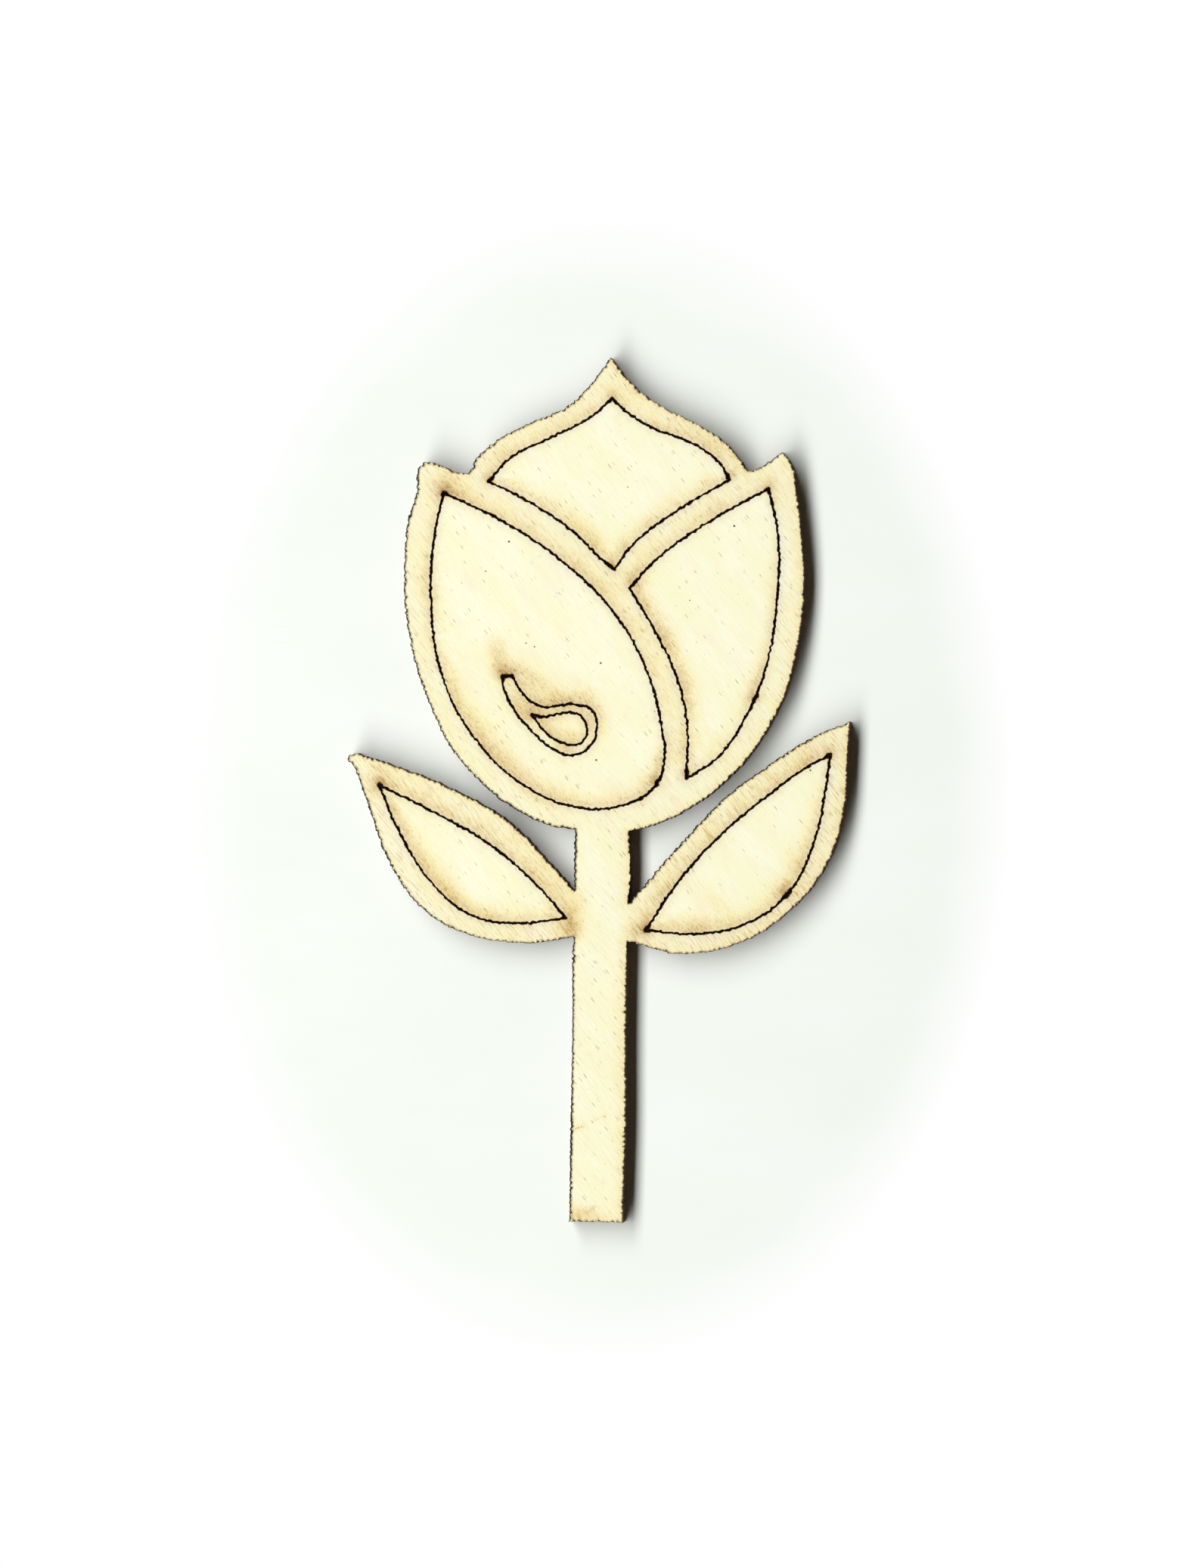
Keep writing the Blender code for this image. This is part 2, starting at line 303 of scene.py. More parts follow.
def board_piece(name, lower, upper, rows, attributes):
    """A closed solid: a lower and an upper skin, and the wall between them round the cut path.

    Each skin is its points, its triangles and the place of its rim. The wall is a profile that
    is carried along the path, and `rows` are its loops, from the lower rim to the upper.
    """
    between_rims = rows[1:-1].reshape(-1, 3)
    points = np.concatenate((lower[0], upper[0], between_rims))
    inner = len(lower[0]) + len(upper[0]) + np.arange(len(between_rims))
    inner = inner.reshape(-1, rows.shape[1])
    row = np.concatenate((lower[2][None], inner, len(lower[0]) + upper[2][None]))
    following = np.roll(row, -1, 1)
    a, b, c, d = row[:-1], following[:-1], following[1:], row[1:]
    wall = np.concatenate((np.stack((a, b, c), -1), np.stack((a, c, d), -1))).reshape(-1, 3)
    triangles = np.concatenate((lower[1][:, ::-1], len(lower[0]) + upper[1], wall))
    mesh = bpy.data.meshes.new(name)
    mesh.vertices.add(len(points))
    mesh.vertices.foreach_set("co", (points / 1000).astype(np.float32).ravel())
    mesh.loops.add(triangles.size)
    mesh.loops.foreach_set("vertex_index", triangles.astype(np.int32).ravel())
    mesh.polygons.add(len(triangles))
    mesh.polygons.foreach_set("loop_start", np.arange(0, triangles.size, 3, dtype=np.int32))
    mesh.update(calc_edges=True)
    mesh.shade_smooth()
    mesh.set_sharp_from_angle(angle=math.radians(50))
    for kind, values in attributes.items():
        layer = mesh.attributes.new(kind, "FLOAT", "POINT")
        layer.data.foreach_set("value", np.broadcast_to(values, len(points)).astype(np.float32))
    piece = bpy.data.objects.new(name, mesh)
    bpy.context.scene.collection.objects.link(piece)
    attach(piece, "root")
    return piece


def linear(red, green, blue):
    """A colour of 0 to 255, as a screen shows it, as the linear colour that a shader takes."""
    share = np.array((red, green, blue)) / 255
    return (*np.where(share < 0.04045, share / 12.92, ((share + 0.055) / 1.055) ** 2.4), 1)


def node(tree, kind, inputs, **settings):
    """Adds a node. Each input is another node's output, which is linked to it, or a plain value."""
    made = tree.nodes.new(kind)
    for setting, value in settings.items():
        setattr(made, setting, value)
    for key, value in inputs.items():
        if isinstance(value, bpy.types.NodeSocket):
            tree.links.new(made.inputs[key], value)
        else:
            made.inputs[key].default_value = value
    return made


def maths(tree, operation, first, second=0.0, third=0.0):
    """A Math node's result, from outputs of other nodes or plain numbers."""
    inputs = {0: first, 1: second, 2: third}
    return node(tree, "ShaderNodeMath", inputs, operation=operation).outputs[0]


def eased(tree, value, low, high, start=0.0, end=1.0):
    """From `start` at `low` to `end` at `high`, eased at both ends and level beyond them."""
    inputs = {0: value, 1: low, 2: high, 3: start, 4: end}
    return node(tree, "ShaderNodeMapRange", inputs, interpolation_type="SMOOTHSTEP").outputs[0]


def laid(tree, factor, under, over, blend="MIX"):
    """One colour laid over another by a factor of 0 to 1."""
    inputs = {0: factor, 6: under, 7: over}
    settings = {"data_type": "RGBA", "blend_type": blend, "clamp_factor": True}
    return node(tree, "ShaderNodeMix", inputs, **settings).outputs[2]


def attribute(tree, name):
    """The number that the mesh holds under this name at each of its points."""
    return node(tree, "ShaderNodeAttribute", {}, attribute_name=name).outputs["Fac"]


def noise(tree, place, along, across, turn=0.0, shift=(0, 0, 0), detail=3.0):
    """Noise with so many waves per mm along and across a direction, which a turn brings to +X."""
    turned = node(
        tree, "ShaderNodeMapping", {"Vector": place, "Rotation": (0, 0, turn), "Location": shift}
    )
    scaled = node(
        tree, "ShaderNodeMapping", {"Vector": turned.outputs[0], "Scale": (along, across, 1)}
    )
    inputs = {"Vector": scaled.outputs[0], "Scale": 1.0, "Detail": detail, "Roughness": 0.6}
    return node(tree, "ShaderNodeTexNoise", inputs).outputs["Fac"]


def in_mm(tree):
    """Object coordinates, in mm."""
    place = node(tree, "ShaderNodeTexCoord", {}).outputs["Object"]
    return node(tree, "ShaderNodeMapping", {"Vector": place, "Scale": (1000,) * 3}).outputs[0]


def charred(tree, place, brown, black):
    """The burnt wall's colour: upright streaks, one for a few pulses each, over sooty patches."""
    level = node(tree, "ShaderNodeSeparateXYZ", {0: place}).outputs["Z"]
    unrolled = node(tree, "ShaderNodeCombineXYZ", {0: attribute(tree, "run"), 1: level}).outputs[0]
    streak = noise(tree, unrolled, 4.5, 0.4)
    patch = noise(tree, unrolled, 0.5, 0.8, shift=(17, 5, 0))
    tone = maths(tree, "MULTIPLY", eased(tree, streak, 0.36, 0.66), eased(tree, patch, 0.3, 0.68))
    return laid(tree, tone, black, brown), streak


def birch(name, grain_turn, shift, wall_brown, wall_black):
    """Sanded birch veneer, with what the laser left on it.

    Cream wood with soft patches; fine fibres and short dark pores lie along the grain. The
    attributes say where the rest goes: `smoke` toasts the wood, and darkens it more near rims that
    face right; `score` is the distance from a scored line in halves of its width, and `edge` the
    distance in mm from the cut, below 0 on its wall, and both end in a ragged border of char, which
    at the cut is partly painted shade; `soot` is a speck; `border` is 0 within a petal or leaf, and
    about 1 on the strips outside them, up to 2 round the leaves, where handling and smoke have
    raised the grain, and up to 1 near rims that face right, which are darker and more flecked.
    `run` is the distance along the cut.
    """
    material = bpy.data.materials.new(name)
    material.use_nodes = True
    tree = material.node_tree
    shader = tree.nodes["Principled BSDF"]
    place = in_mm(tree)
    moved = node(tree, "ShaderNodeMapping", {"Vector": place, "Location": shift}).outputs[0]

    def grainy(along, across, nudge=0, detail=3.0):
        return noise(tree, moved, along, across, grain_turn, (nudge, 2 * nudge, 0), detail)

    def stained(factor, under, stain):
        return laid(tree, factor, under, (*stain, 1), "MULTIPLY")

    # Cream sapwood in two shades, pinkish here and there, under fine darker fibres
    patch = eased(tree, grainy(0.10, 0.35), 0.3, 0.7)
    wood = laid(tree, patch, linear(254, 255, 228), linear(253, 252, 213))
    pinkish = eased(tree, grainy(0.2, 0.45, 31), 0.5, 0.78, 0.0, 0.5)
    wood = laid(tree, pinkish, wood, linear(252, 240, 214))
    fibre = grainy(0.45, 7.0, 57, 4.0)
    wood = laid(tree, eased(tree, fibre, 0.46, 0.8, 0.0, 0.5), wood, linear(242, 230, 184))

    # Pores: in some cells of a stretched Voronoi pattern, a tick of random length and darkness
    border = attribute(tree, "border")
    pore_place = node(tree, "ShaderNodeMapping", {"Vector": moved, "Rotation": (0, 0, grain_turn)})
    pore_place = node(
        tree, "ShaderNodeMapping", {"Vector": pore_place.outputs[0], "Scale": (0.62, 5.0, 1)}
    )
    pores = node(
        tree, "ShaderNodeTexVoronoi",
        {"Vector": pore_place.outputs[0], "Scale": 1.0, "Randomness": 1.0}, voronoi_dimensions="2D",
    )
    chance = node(tree, "ShaderNodeSeparateXYZ", {0: pores.outputs["Color"]})
    few = eased(tree, grainy(0.12, 0.3, 43), 0.35, 0.65, 0.985, 0.86)
    smoke = attribute(tree, "smoke")
    few = maths(tree, "MULTIPLY_ADD", smoke, -0.10, few)
    few = maths(tree, "MULTIPLY_ADD", maths(tree, "MINIMUM", border, 1.0), -0.17, few)
    there = maths(tree, "GREATER_THAN", chance.outputs[0], few)
    reach = maths(tree, "MULTIPLY_ADD", chance.outputs[2], 0.26, 0.06)
    shape = maths(tree, "DIVIDE", pores.outputs["Distance"], reach)
    mark = maths(tree, "MULTIPLY", there, eased(tree, shape, 1.0, 0.45))
    strength = maths(tree, "MULTIPLY_ADD", chance.outputs[1], 0.7, 0.15)
    wood = laid(tree, maths(tree, "MULTIPLY", mark, strength), wood, linear(150, 132, 92))

    # Coarse fibres, raised and browned on the strips
    scuff = eased(tree, grainy(0.5, 6.5, 83, 4.0), 0.50, 0.68, 0.04, 0.50)
    wood = laid(tree, maths(tree, "MULTIPLY", scuff, border), wood, linear(222, 198, 146))

    # Smoke settles unevenly, and runs out along the fibres.
    feather = maths(tree, "MULTIPLY_ADD", grainy(0.7, 2.6, 7), 1.1, 0.45)
    haze = maths(tree, "MULTIPLY_ADD", grainy(0.25, 0.4, 71), 0.8, 0.6)
    speckle = eased(tree, grainy(2.2, 6.0, 97), 0.48, 0.70, 0.89, 1.9)
    toast = maths(tree, "MULTIPLY", smoke, maths(tree, "MULTIPLY", feather, haze))
    toast = maths(tree, "MULTIPLY", toast, speckle)
    ramp = node(tree, "ShaderNodeValToRGB", {0: maths(tree, "DIVIDE", toast, SMOKE_STOPS[-1])})
    red_loss = 0.37 * SMOKE_STOPS**3 / (SMOKE_STOPS**2 + 0.32)
    green_loss = 0.64 * SMOKE_STOPS**2 / (SMOKE_STOPS + 0.22)
    stops = ramp.color_ramp.elements
    for depth in SMOKE_STOPS[1:-1]:
        stops.new(depth / SMOKE_STOPS[-1])
    for stop, *losses in zip(stops, red_loss, green_loss, SMOKE_STOPS):
        stop.color = (*np.exp(-np.array(losses)), 1)
    wood = laid(tree, 1.0, wood, ramp.outputs[0], "MULTIPLY")

    # The heat greyed the wood beside a scored line and browned its flank, and left the line, the
    # specks and the corner of the cut black. The dark ring at the cut is char and partly painted
    # shade.
    crumbly = noise(tree, moved, 9.0, 9.0)
    score = maths(tree, "MULTIPLY_ADD", crumbly, 0.5, attribute(tree, "score"))
    score = maths(tree, "MULTIPLY_ADD", noise(tree, moved, 3.2, 3.2, detail=1.0), 1.1, score)
    wood = stained(eased(tree, score, 8.5, 1.7, 0.0, 0.14), wood, (0.3, 0.27, 0.85))
    wood = stained(eased(tree, score, 2.4, 1.75, 0.0, 0.8), wood, (0.72, 0.44, 0.18))
    wood = laid(tree, eased(tree, score, 1.96, 1.66), wood, linear(18, 9, 2))
    soot = maths(tree, "MULTIPLY_ADD", crumbly, 0.5, attribute(tree, "soot"))
    wood = laid(tree, eased(tree, soot, 0.55, 0.85), wood, linear(70, 60, 40))
    edge = maths(tree, "MULTIPLY_ADD", crumbly, 0.22, attribute(tree, "edge"))
    wood = stained(eased(tree, edge, 0.34, 0.18, 0.0, 0.65), wood, (0.36, 0.32, 0.27))
    wall, streak = charred(tree, place, wall_brown, wall_black)
    wall = laid(tree, eased(tree, edge, -0.3, 0.0), wall, linear(44, 34, 24))
    burnt = eased(tree, edge, 0.17, 0.10)
    tree.links.new(shader.inputs["Base Color"], laid(tree, burnt, wood, wall))
    tree.links.new(shader.inputs["Roughness"], eased(tree, burnt, 0.0, 1.0, 0.62, 0.88))
    relief = maths(tree, "MULTIPLY_ADD", burnt, streak, fibre)
    bump = node(tree, "ShaderNodeBump", {"Strength": 0.25, "Distance": 0.00004, "Height": relief})
    tree.links.new(shader.inputs["Normal"], bump.outputs[0])
    shader.inputs["Specular IOR Level"].default_value = 0.25
    return material


# The laser's head shook a little on its way round, least along the stem's straight left side,
# and wandered by up to 0.3 mm. The wood is to the left of the path.
board_outline = max(loops_round("back_veneer"), key=signed_area)
cut_path, cut_corner = smooth_path(board_outline, WALL_STEP)
cut_run, cut_around = run_of(cut_path)
cut_freedom = off_corners(cut_run, cut_around, cut_corner)
cut_shake = wavering(cut_run, cut_around, (0.032, 0.7, 3), (0.014, 3.0, 4), (0.032, 1.5, 7))
beside_stem = np.clip((STEM_CLEAR - (cut_path - STEM_FOOT)[:, 1]) / 2.0, 0, 1)
cut_shake *= 1 - beside_stem * np.where(cut_path[:, 0] < STEM_FOOT[0], 0.6, 0.1)
cut_shake = cut_freedom * np.clip(CUT_INSET + cut_shake, -0.06, 0.15)
x, y, outwards, wider_char_and_shade, along = np.array(CUT_WANDER).T
wander_places = beside(cut_path, np.stack((x, y), 1) + STEM_FOOT)[1]
cut_wander = humps(cut_run, cut_around, wander_places, along, outwards)
cut_wander *= off_corners(cut_run, cut_around, cut_corner, 2.0)
cut_char_and_shade = humps(cut_run, cut_around, wander_places, along, wider_char_and_shade)
cut_path = cut_path + left_of(cut_path) * (cut_shake - cut_wander)[:, None]
cut_path = np.clip(cut_path, *(1000 * np.array(cad_box)[:, :2]))
cut_run, cut_around = run_of(cut_path)
cut_flutes = ripple(cut_run, cut_around, 0.5, 5)
cut_waves = ripple(cut_run, cut_around, 1.6, 6)

back_rows = cut_wall(BACK_LEVELS, (0.04, 0, 0, 0, 0))
back_rim = back_rows[0, :, :2]
back_others = np.concatenate((
    ring_points(back_rim, (0.1, 0.25)),
    ring_points(back_rim[::4], (0.7, 1.4)),
    grid_within(board_outline, 1.5, 8),
))
back_others = back_others[beside(back_rim, back_others)[0] > 0.09]
back_lower = skin(back_rim, back_others)
back_upper = skin(back_rows[-1, :, :2], ())
back_edge, back_place = beside(back_rim, back_lower[0])
back_toast = 0.30 + 0.22 * ripple(back_place, cut_around, 9.0, 9)
back_walls = (len(BACK_LEVELS) - 2) * len(cut_path)
back_low = np.column_stack((back_lower[0], np.zeros(len(back_lower[0]))))
back_high = np.column_stack((back_upper[0], np.full(len(back_upper[0]), BACK_LEVELS[-1])))
back_ply = board_piece(
    "back_ply",
    (back_low, *back_lower[1:]),
    (back_high, *back_upper[1:]),
    back_rows,
    {
        "edge": np.concatenate((back_edge, np.full(len(back_high) + back_walls, ON_WALL))),
        "run": np.concatenate((
            back_place, beside(cut_path, back_upper[0])[1], np.tile(cut_run, len(BACK_LEVELS) - 2),
        )),
        "smoke": np.concatenate((
            back_toast * np.exp(-back_edge / 1.1), np.zeros(len(back_high) + back_walls),
        )),
        "score": NO_LINE,
        "soot": 0.0,
        "border": 0.3,
    },
)
back_ply.data.materials.append(
    birch("sanded_birch_back", GRAIN_TURN, (61, 23, 0), linear(140, 98, 56), linear(66, 44, 28))
)
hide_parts("back_veneer")

# The two glue lines: a thin film of resin between each two plies, which the beam burnt to a black,
# slightly glossy seam. It lies a hair deeper than the wood on either side.

GLUE_BURNT_BACK = 0.02


def plain_layer(name, levels, burnt_back, cad_node, material):
    """A layer that shows only its cut wall: both skins are flat, and hidden by its neighbours."""
    rows = cut_wall(levels, np.full(len(levels), burnt_back))
    skins = [skin(rows[i, :, :2], ()) for i in (0, -1)]
    raised = [
        (np.column_stack((flat[0], np.full(len(flat[0]), level))), *flat[1:])
        for flat, level in zip(skins, (levels[0], levels[-1]))
    ]
    run = [beside(cut_path, flat[0])[1] for flat in skins]
    run = np.concatenate((*run, np.tile(cut_run, len(levels) - 2)))
    piece = board_piece(name, *raised, rows, {"run": run})
    piece.data.materials.append(material)
    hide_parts(cad_node)


def burnt_wall(name, brown, black, roughness, specular):
    """Char all over, streaked as the wall of every layer is, with the streaks in relief."""
    material = bpy.data.materials.new(name)
    material.use_nodes = True
    tree = material.node_tree
    shader = tree.nodes["Principled BSDF"]
    colour, streak = charred(tree, in_mm(tree), brown, black)
    tree.links.new(shader.inputs["Base Color"], colour)
    bump = node(tree, "ShaderNodeBump", {"Strength": 0.3, "Distance": 0.00004, "Height": streak})
    tree.links.new(shader.inputs["Normal"], bump.outputs[0])
    shader.inputs["Roughness"].default_value = roughness
    shader.inputs["Specular IOR Level"].default_value = specular
    return material


burnt_glue = burnt_wall("burnt_glue", linear(40, 29, 20), linear(18, 13, 10), 0.42, 0.5)
plain_layer("rear_glue_film", (0.9, 1.0), GLUE_BURNT_BACK, "rear_glue_line", burnt_glue)
plain_layer("front_glue_film", (2.2, 2.3), GLUE_BURNT_BACK, "front_glue_line", burnt_glue)

# The core veneer: the thicker middle ply, whose grain crosses the others'. Only its cut wall shows,
# darker than theirs because the beam cut it across the ends of its fibres.

CORE_LEVELS = (1.0, 1.3, 1.6, 1.9, 2.2)
CORE_BURNT_BACK = 0.004
core_char = burnt_wall("charred_core", linear(104, 70, 44), linear(50, 34, 22), 0.9, 0.2)
plain_layer("core_ply", CORE_LEVELS, CORE_BURNT_BACK, "core_veneer", core_char)

# The face veneer: the upper birch ply, 0.9 mm thick. The same laser, with less power, has drawn
# the petals, the leaves and a seed mark on it: each is one closed V-shaped groove, black inside.
# It paused where a line starts and at the tips, which left wider, deeper spots and brown smoke.

FACE_LEVELS = (2.3, 2.55, 2.8, 3.0, 3.12)
ARRIS = 0.05  # the radius of the rim's edge
LINE_STEP = 0.16
LINE_HALF = 0.15
LINE_DEPTH = 0.45
LINE_NUDGE = (0.0, -0.06)  # the board lay this far off when the lines were scored
GROOVE_ROWS = (0.36, 0.72, 1.0, 1.4)  # rows of points beside a line, in halves of its width
FLANK_ROW = 0.38  # and one more, in mm
STEM_HALF = 3.175

# For each scored line, largest first. Pauses are (x, y, how much wider, how far along), and where
# the head hurried the line is narrower, so the number is below 0. Puffs of smoke are (x, y, how far
# along, how far off, how strong), on the side of the line that they are on, and a puff below 0
# leaves the wood cleaner.
SCORED = {
    "front_petal": {
        "pauses": (
            (6.2, 51.9, 0.8, 0.8), (4.6, 50.0, 0.2, 1.3), (-19.3, 85.4, 0.9, 0.55),
            (-18.3, 61.7, -0.26, 2.8), (-11.0, 52.4, -0.12, 6.0), (4.1, 66.9, -0.12, 2.5),
        ),
        "puffs": (
            (-17.8, 62.0, 3.0, 1.2, 0.60), (-15.0, 57.7, 3.5, 1.4, 0.55),
            (-11.6, 53.6, 3.0, 1.6, 0.50), (-6.0, 50.2, 2.5, 1.4, 0.30),
            (5.6, 51.6, 1.7, 1.3, 0.65), (6.4, 53.5, 1.8, 1.0, 1.00),
            (-20.2, 85.6, 1.5, 1.4, 0.75), (-21.4, 76.0, 2.0, 1.2, 0.55),
            (-21.2, 71.5, 3.0, 0.8, 0.55), (-19.0, 65.5, 2.5, 1.1, 0.30),
            (-19.9, 73.5, 3.0, 0.9, 0.35), (7.0, 54.5, 1.5, 0.9, 0.25),
            (-21.4, 81.5, 3.0, 1.0, 0.40), (-21.2, 68.0, 2.5, 0.9, 0.20),
            (-8.6, 49.3, 3.0, 0.9, 0.45), (8.1, 55.2, 1.5, 0.9, 0.20),
            (-2.0, 77.3, 3.0, 1.0, 0.35), (-12.0, 81.2, 3.0, 1.0, -0.20),
            (-9.5, 52.6, 2.0, 1.2, 0.35),
        ),
    },
    "right_petal": {
        "pauses": (
            (17.7, 61.9, 0.8, 0.75), (18.95, 86.4, 0.6, 0.5), (19.4, 85.0, 0.3, 0.7),
            (9.85, 52.9, 0.9, 0.6), (3.2, 75.3, 0.6, 0.5), (9.9, 57.5, -0.18, 2.0),
            (19.4, 67.1, -0.18, 1.6),
        ),
        "puffs": (
            (3.8, 74.6, 1.5, 1.3, 1.00), (4.3, 72.4, 2.5, 1.1, 0.45), (7.2, 68.5, 2.5, 1.2, 1.00),
            (9.2, 62.5, 3.2, 1.2, 0.55), (17.2, 61.8, 1.6, 1.3, 0.30),
            (17.8, 64.1, 2.2, 0.9, 0.95), (19.5, 70.0, 5.0, 0.7, 0.65),
            (8.6, 56.0, 2.5, 0.9, 0.85), (11.2, 55.4, 2.5, 1.0, 0.45),
            (19.6, 77.5, 2.5, 0.8, 0.30), (2.8, 76.3, 1.5, 1.1, 0.80),
            (21.2, 78.0, 7.0, 0.9, -0.45), (9.3, 64.5, 2.0, 1.1, 0.30),
        ),
    },
    "top_petal": {
        "pauses": (
            (0.4, 96.8, 0.7, 0.45), (-13.9, 87.1, 0.9, 0.5), (14.3, 87.8, 0.75, 0.45),
            (0.7, 77.3, 0.6, 0.7), (-5.0, 93.0, -0.08, 3.0), (-9.7, 84.8, -0.12, 2.0),
        ),
        "puffs": (
            (0.6, 79.2, 1.3, 1.4, 0.50), (-3.0, 81.5, 3.0, 1.5, 0.45),
            (4.5, 81.5, 3.5, 1.3, 0.25), (11.5, 87.0, 3.0, 1.3, 0.10),
            (-13.5, 89.8, 2.0, 1.2, 0.40), (-11.8, 88.6, 2.0, 1.0, 0.20),
            (11.6, 91.9, 2.5, 1.1, 0.30), (3.5, 95.0, 2.5, 1.1, -0.50),
            (0.3, 95.6, 1.8, 0.9, -0.30), (-0.8, 79.2, 1.2, 1.2, 0.40),
        ),
    },
    "right_leaf": {
        "pauses": (
            (21.8, 39.1, 1.15, 0.62), (26.6, 55.3, 0.9, 0.5), (26.2, 53.4, 0.25, 1.2),
            (5.4, 34.6, 1.3, 0.5), (9.7, 41.0, 0.12, 4.0), (9.1, 34.1, -0.12, 2.0),
        ),
        "puffs": (
            (24.9, 47.6, 3.5, 0.9, 0.65), (23.2, 42.6, 2.5, 1.2, 1.15),
            (21.3, 39.6, 1.5, 1.6, 0.85), (20.3, 52.8, 3.5, 1.0, 0.25),
            (7.0, 39.5, 2.5, 1.2, 0.55), (5.4, 35.9, 1.2, 1.2, 0.80), (6.2, 35.6, 1.5, 1.3, 0.35),
            (11.0, 35.5, 4.5, 1.5, 0.55), (24.3, 55.3, 2.0, 1.1, 0.45),
            (11.5, 44.8, 3.0, 1.1, 0.25), (24.1, 40.3, 1.5, 0.9, 0.25),
            (27.5, 52.8, 3.0, 0.9, -0.55), (17.5, 36.7, 2.0, 0.9, 0.30),
        ),
    },
    "left_leaf": {
        "pauses": (
            (-26.3, 51.0, 1.1, 0.5), (-4.1, 35.75, 0.2, 0.4), (-20.3, 39.9, -0.24, 2.5),
            (-7.7, 39.6, -0.14, 2.0), (-13.7, 44.5, 0.1, 2.0),
        ),
        "puffs": (
            (-23.6, 47.2, 3.0, 0.9, 0.65), (-21.3, 43.2, 2.5, 1.2, 0.75),
            (-18.9, 39.4, 2.5, 1.4, 0.90), (-26.9, 51.6, 1.6, 1.4, 0.45),
            (-3.5, 35.8, 1.2, 1.4, 0.65), (-24.6, 49.4, 1.6, 1.1, 0.50),
            (-25.0, 48.5, 1.6, 1.0, 0.35), (-15.0, 36.9, 2.0, 1.2, 0.55),
            (-7.0, 40.3, 2.5, 1.1, 0.40), (-5.2, 36.8, 1.5, 1.1, 0.55),
            (-23.8, 50.8, 2.0, 1.0, 0.20),
        ),
    },
    "seed_rim": {
        "pauses": ((-11.9, 63.95, 1.2, 0.4), (-11.0, 64.1, 0.6, 0.5), (-4.4, 60.9, 0.15, 1.5)),
        "puffs": (
            (-11.9, 64.4, 0.8, 1.2, 0.40), (-9.6, 62.9, 1.3, 1.4, 0.45),
            (-4.5, 61.6, 3.0, 1.5, 0.30), (-1.2, 58.5, 1.5, 1.6, 0.25),
            (-10.0, 61.3, 1.3, 0.9, 0.85), (-8.2, 60.4, 1.2, 0.8, 0.45),
            (-0.1, 57.9, 1.5, 1.1, 0.20), (-9.6, 59.9, 1.0, 1.0, 0.60),
            (-8.0, 61.9, 1.5, 1.2, 0.20), (-11.4, 63.2, 0.8, 0.6, -0.40),
            (-5.4, 55.9, 1.8, 0.7, -0.25), (-1.9, 60.0, 1.2, 0.7, -0.30),
        ),
    },
    "seed": {
        "pauses": ((-8.6, 59.6, 0.7, 0.4), (-7.5, 59.4, 0.3, 0.9)),
        "puffs": (
            (-6.4, 58.8, 1.6, 1.0, 0.50), (-6.9, 58.1, 1.5, 0.9, 0.25),
            (-2.9, 57.2, 1.6, 1.0, 0.30),
        ),
    },
}
# The lines with a clean panel inside; outside them is a strip along the cut.
PETALS_AND_LEAVES = ("front_petal", "right_petal", "top_petal", "right_leaf", "left_leaf")
# The strips round the leaves are browner than those round the petals.
BROWNER_STRIPS = {"right_leaf": 1.2, "left_leaf": 0.7}

# The extractor drew the smoke this way, so that each line has most of it on that side.
SMOKE_DRIFT = np.array((0.15, 0.99))
# Smoke away from the lines, two cleaner spots below the seed, and a faint crease across the stem:
# (x, y, half the length, half the width, turn in degrees, how strong)
SMUDGES = (
    (-9.0, 60.0, 8.0, 8.0, 0, 0.07), (-12.4, 65.2, 1.4, 0.9, 110, 0.38),
    (-12.6, 67.0, 1.8, 1.2, 110, 0.38), (-8.2, 63.6, 2.6, 1.0, -30, 0.45),
    (-7.2, 57.0, 2.2, 0.7, -44, -0.40), (-2.6, 56.0, 1.5, 0.6, 50, -0.20),
    (12.5, 38.5, 3.5, 1.6, -30, 0.20), (-19.5, 86.8, 2.2, 1.0, -25, 0.15),
    (-3.4, 34.3, 1.1, 1.0, 80, 0.95), (3.6, 34.4, 1.2, 1.0, 0, 0.35),
    (-3.2, 37.5, 1.0, 1.5, 0, 0.25), (-1.5, 1.0, 2.2, 0.9, 0, 0.50),
    (-2.2, 11.1, 0.7, 0.22, 20, 0.35), (-0.3, 12.0, 0.6, 0.15, 25, 0.20),
    (0.9, 12.5, 0.3, 0.18, 0, 0.20),
)
# Specks of soot: (x, y, radius)
SPECKS = (
    (-11.5, 79.8, 0.11), (-0.45, 65.7, 0.11), (15.0, 82.0, 0.12), (-9.3, 67.9, 0.08),
    (-8.3, 67.5, 0.08), (-0.8, 54.3, 0.11), (24.4, 53.5, 0.10), (2.4, 86.4, 0.07),
    (-14.2, 76.3, 0.08), (9.9, 73.2, 0.07), (6.0, 60.1, 0.06), (-2.5, 10.98, 0.05),
    (-2.2, 11.07, 0.06), (-1.85, 11.2, 0.05), (-0.55, 11.8, 0.04), (0.1, 12.2, 0.04),
    (0.88, 12.46, 0.06),
)
# How far smoke keeps off a line, and how far it spreads from one
CLEAN_STRIP = 0.42
SMOKE_SPREAD = 1.3


def circle(count):
    """So many points round a circle with a radius of 1: the cosine and sine of equal steps."""
    angle = np.arange(count) / count * 2 * np.pi
    return np.stack((np.cos(angle), np.sin(angle)), 1)


def moved_inwards(loop, distance):
    """A loop whose every side is moved to its left by a distance and meets the next in a mitre."""
    chord = np.roll(loop, -1, 0) - loop
    chord /= np.linalg.norm(chord, axis=1)[:, None]
    normal = np.stack((-chord[:, 1], chord[:, 0]), 1)
    before = np.roll(normal, 1, 0)
    return loop + distance * (before + normal) / (1 + (before * normal).sum(1))[:, None]


